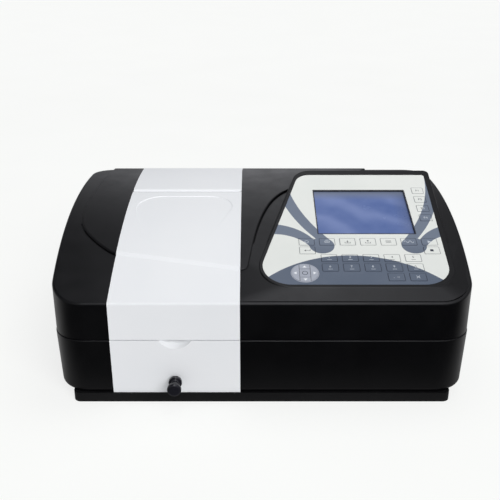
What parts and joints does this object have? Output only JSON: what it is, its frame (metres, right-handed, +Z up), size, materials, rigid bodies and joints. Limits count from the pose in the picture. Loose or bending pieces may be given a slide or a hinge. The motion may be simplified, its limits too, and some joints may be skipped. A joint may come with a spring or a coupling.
{
  "type": "spectrophotometer",
  "caption": "Bench single-beam UV-visible spectrophotometer with a hinged sample lid, a pull-rod cell changer, a sloping keypad console and a display.",
  "frame": {"origin": "middle of the box around the whole instrument, at the level of its feet", "axes": "+X to the operator's right, +Y to the back, +Z up; the operator faces the front, which looks along -Y"},
  "size_m": [0.5048, 0.3758, 0.2137],
  "materials": {
    "black_casing": "satin moulded",
    "black_steel": "powder coated",
    "bright_steel": "ground",
    "foot_rubber": "matt",
    "white_casing": "satin moulded",
    "chamber_black": "matt black",
    "seal_rubber": "foam",
    "quartz": "clear",
    "black_anodised": "black anodised",
    "knob_plastic": "gloss",
    "overlay_film": "printed film",
    "key_film": "printed film",
    "cursor_key": "printed film",
    "display_glass": "polarised panel",
    "cast_casing": "cast",
    "bright_sheet": "plated",
    "circuit_board": "solder resist",
    "socket_plastic": "moulded"
  },
  "bodies": {
    "chassis": {"upper_cover": "black_casing", "lower_housing": "black_casing", "base_pan": "black_steel", "housing_screws": "bright_steel", "rubber_feet": "foot_rubber", "front_panel": "white_casing", "rear_trim": "white_casing", "hinge_rod": "bright_steel", "sample_chamber": "chamber_black", "chamber_seal": "seal_rubber", "beam_windows": "quartz", "carriage_rails": "bright_steel", "keypad_overlay": "overlay_film", "display_module": "display_glass", "monochromator": "cast_casing", "lamp_house": "bright_sheet", "lamps": "quartz", "detector_block": "cast_casing", "main_board": "circuit_board", "power_supply": "bright_sheet", "power_inlet": "socket_plastic", "fan_frame": "socket_plastic", "data_ports": "bright_sheet"},
    "lid": {"sample_lid": "white_casing"},
    "cell_changer": {"cell_carriage": "black_anodised", "pull_rod": "bright_steel", "pull_knob": "knob_plastic"},
    "power_rocker": {"power_switch": "socket_plastic"},
    "fan": {"fan_rotor": "socket_plastic"},
    "grating": {"grating_turret": "cast_casing"},
    "key_f1": {"key_f1": "key_film"},
    "key_f2": {"key_f2": "key_film"},
    "key_f3": {"key_f3": "key_film"},
    "key_f4": {"key_f4": "key_film"},
    "key_zero": {"key_zero": "key_film"},
    "key_print": {"key_print": "key_film"},
    "key_load": {"key_load": "key_film"},
    "key_save": {"key_save": "key_film"},
    "key_set": {"key_set": "key_film"},
    "key_mode": {"key_mode": "key_film"},
    "key_start": {"key_start": "key_film"},
    "key_enter": {"key_enter": "key_film"},
    "key_stop": {"key_stop": "key_film"},
    "key_1": {"key_1": "key_film"},
    "key_2": {"key_2": "key_film"},
    "key_3": {"key_3": "key_film"},
    "key_4": {"key_4": "key_film"},
    "key_5": {"key_5": "key_film"},
    "key_6": {"key_6": "key_film"},
    "key_7": {"key_7": "key_film"},
    "key_8": {"key_8": "key_film"},
    "key_9": {"key_9": "key_film"},
    "key_0": {"key_0": "key_film"},
    "key_sign": {"key_sign": "key_film"},
    "key_clear": {"key_clear": "key_film"},
    "key_up": {"key_up": "cursor_key"},
    "key_down": {"key_down": "cursor_key"},
    "key_left": {"key_left": "cursor_key"},
    "key_right": {"key_right": "cursor_key"},
    "key_ok": {"key_ok": "cursor_key"}
  },
  "joints": [
    {"name": "lid_hinge", "type": "hinge", "parent": "chassis", "child": "lid", "pos_m": [-0.1007, 0.0617, 0.18347], "axis": [-1, 0, 0], "range_deg": [0, 85]},
    {"name": "cell_changer_slide", "type": "slide", "parent": "chassis", "child": "cell_changer", "axis": [0, -1, 0], "range_m": [0, 0.054]},
    {"name": "power_switch_rock", "type": "hinge", "parent": "chassis", "child": "power_rocker", "pos_m": [-0.19, 0.181, 0.061], "axis": [1, 0, 0], "range_deg": [-20, 0]},
    {"name": "fan_spin", "type": "hinge", "parent": "chassis", "child": "fan", "pos_m": [0.175, 0.1674, 0.05], "axis": [0, 1, 0], "continuous": true},
    {"name": "grating_turn", "type": "hinge", "parent": "chassis", "child": "grating", "pos_m": [0.036, -0.0256, 0.03], "axis": [0, 0, 1], "range_deg": [-35, 35]},
    {"name": "key_f1_press", "type": "slide", "parent": "chassis", "child": "key_f1", "axis": [0, 0.2907, -0.9568], "range_m": [0, 0.0004], "stiffness_N_per_m": 2000},
    {"name": "key_f2_press", "type": "slide", "parent": "chassis", "child": "key_f2", "axis": [0, 0.2907, -0.9568], "range_m": [0, 0.0004], "stiffness_N_per_m": 2000},
    {"name": "key_f3_press", "type": "slide", "parent": "chassis", "child": "key_f3", "axis": [0, 0.2907, -0.9568], "range_m": [0, 0.0004], "stiffness_N_per_m": 2000},
    {"name": "key_f4_press", "type": "slide", "parent": "chassis", "child": "key_f4", "axis": [0, 0.2907, -0.9568], "range_m": [0, 0.0004], "stiffness_N_per_m": 2000},
    {"name": "key_zero_press", "type": "slide", "parent": "chassis", "child": "key_zero", "axis": [0, 0.2907, -0.9568], "range_m": [0, 0.0004], "stiffness_N_per_m": 2000},
    {"name": "key_print_press", "type": "slide", "parent": "chassis", "child": "key_print", "axis": [0, 0.2907, -0.9568], "range_m": [0, 0.0004], "stiffness_N_per_m": 2000},
    {"name": "key_load_press", "type": "slide", "parent": "chassis", "child": "key_load", "axis": [0, 0.2907, -0.9568], "range_m": [0, 0.0004], "stiffness_N_per_m": 2000},
    {"name": "key_save_press", "type": "slide", "parent": "chassis", "child": "key_save", "axis": [0, 0.2907, -0.9568], "range_m": [0, 0.0004], "stiffness_N_per_m": 2000},
    {"name": "key_set_press", "type": "slide", "parent": "chassis", "child": "key_set", "axis": [0, 0.2907, -0.9568], "range_m": [0, 0.0004], "stiffness_N_per_m": 2000},
    {"name": "key_mode_press", "type": "slide", "parent": "chassis", "child": "key_mode", "axis": [0, 0.2907, -0.9568], "range_m": [0, 0.0004], "stiffness_N_per_m": 2000},
    {"name": "key_start_press", "type": "slide", "parent": "chassis", "child": "key_start", "axis": [0, 0.2907, -0.9568], "range_m": [0, 0.0004], "stiffness_N_per_m": 2000},
    {"name": "key_enter_press", "type": "slide", "parent": "chassis", "child": "key_enter", "axis": [0, 0.2907, -0.9568], "range_m": [0, 0.0004], "stiffness_N_per_m": 2000},
    {"name": "key_stop_press", "type": "slide", "parent": "chassis", "child": "key_stop", "axis": [0, 0.2907, -0.9568], "range_m": [0, 0.0004], "stiffness_N_per_m": 2000},
    {"name": "key_1_press", "type": "slide", "parent": "chassis", "child": "key_1", "axis": [0, 0.2907, -0.9568], "range_m": [0, 0.0004], "stiffness_N_per_m": 2000},
    {"name": "key_2_press", "type": "slide", "parent": "chassis", "child": "key_2", "axis": [0, 0.2907, -0.9568], "range_m": [0, 0.0004], "stiffness_N_per_m": 2000},
    {"name": "key_3_press", "type": "slide", "parent": "chassis", "child": "key_3", "axis": [0, 0.2907, -0.9568], "range_m": [0, 0.0004], "stiffness_N_per_m": 2000},
    {"name": "key_4_press", "type": "slide", "parent": "chassis", "child": "key_4", "axis": [0, 0.2907, -0.9568], "range_m": [0, 0.0004], "stiffness_N_per_m": 2000},
    {"name": "key_5_press", "type": "slide", "parent": "chassis", "child": "key_5", "axis": [0, 0.2907, -0.9568], "range_m": [0, 0.0004], "stiffness_N_per_m": 2000},
    {"name": "key_6_press", "type": "slide", "parent": "chassis", "child": "key_6", "axis": [0, 0.2907, -0.9568], "range_m": [0, 0.0004], "stiffness_N_per_m": 2000},
    {"name": "key_7_press", "type": "slide", "parent": "chassis", "child": "key_7", "axis": [0, 0.2907, -0.9568], "range_m": [0, 0.0004], "stiffness_N_per_m": 2000},
    {"name": "key_8_press", "type": "slide", "parent": "chassis", "child": "key_8", "axis": [0, 0.2907, -0.9568], "range_m": [0, 0.0004], "stiffness_N_per_m": 2000},
    {"name": "key_9_press", "type": "slide", "parent": "chassis", "child": "key_9", "axis": [0, 0.2907, -0.9568], "range_m": [0, 0.0004], "stiffness_N_per_m": 2000},
    {"name": "key_0_press", "type": "slide", "parent": "chassis", "child": "key_0", "axis": [0, 0.2907, -0.9568], "range_m": [0, 0.0004], "stiffness_N_per_m": 2000},
    {"name": "key_sign_press", "type": "slide", "parent": "chassis", "child": "key_sign", "axis": [0, 0.2907, -0.9568], "range_m": [0, 0.0004], "stiffness_N_per_m": 2000},
    {"name": "key_clear_press", "type": "slide", "parent": "chassis", "child": "key_clear", "axis": [0, 0.2907, -0.9568], "range_m": [0, 0.0004], "stiffness_N_per_m": 2000},
    {"name": "key_up_press", "type": "slide", "parent": "chassis", "child": "key_up", "axis": [0, 0.2907, -0.9568], "range_m": [0, 0.0004], "stiffness_N_per_m": 2000},
    {"name": "key_down_press", "type": "slide", "parent": "chassis", "child": "key_down", "axis": [0, 0.2907, -0.9568], "range_m": [0, 0.0004], "stiffness_N_per_m": 2000},
    {"name": "key_left_press", "type": "slide", "parent": "chassis", "child": "key_left", "axis": [0, 0.2907, -0.9568], "range_m": [0, 0.0004], "stiffness_N_per_m": 2000},
    {"name": "key_right_press", "type": "slide", "parent": "chassis", "child": "key_right", "axis": [0, 0.2907, -0.9568], "range_m": [0, 0.0004], "stiffness_N_per_m": 2000},
    {"name": "key_ok_press", "type": "slide", "parent": "chassis", "child": "key_ok", "axis": [0, 0.2907, -0.9568], "range_m": [0, 0.0004], "stiffness_N_per_m": 2000}
  ]
}
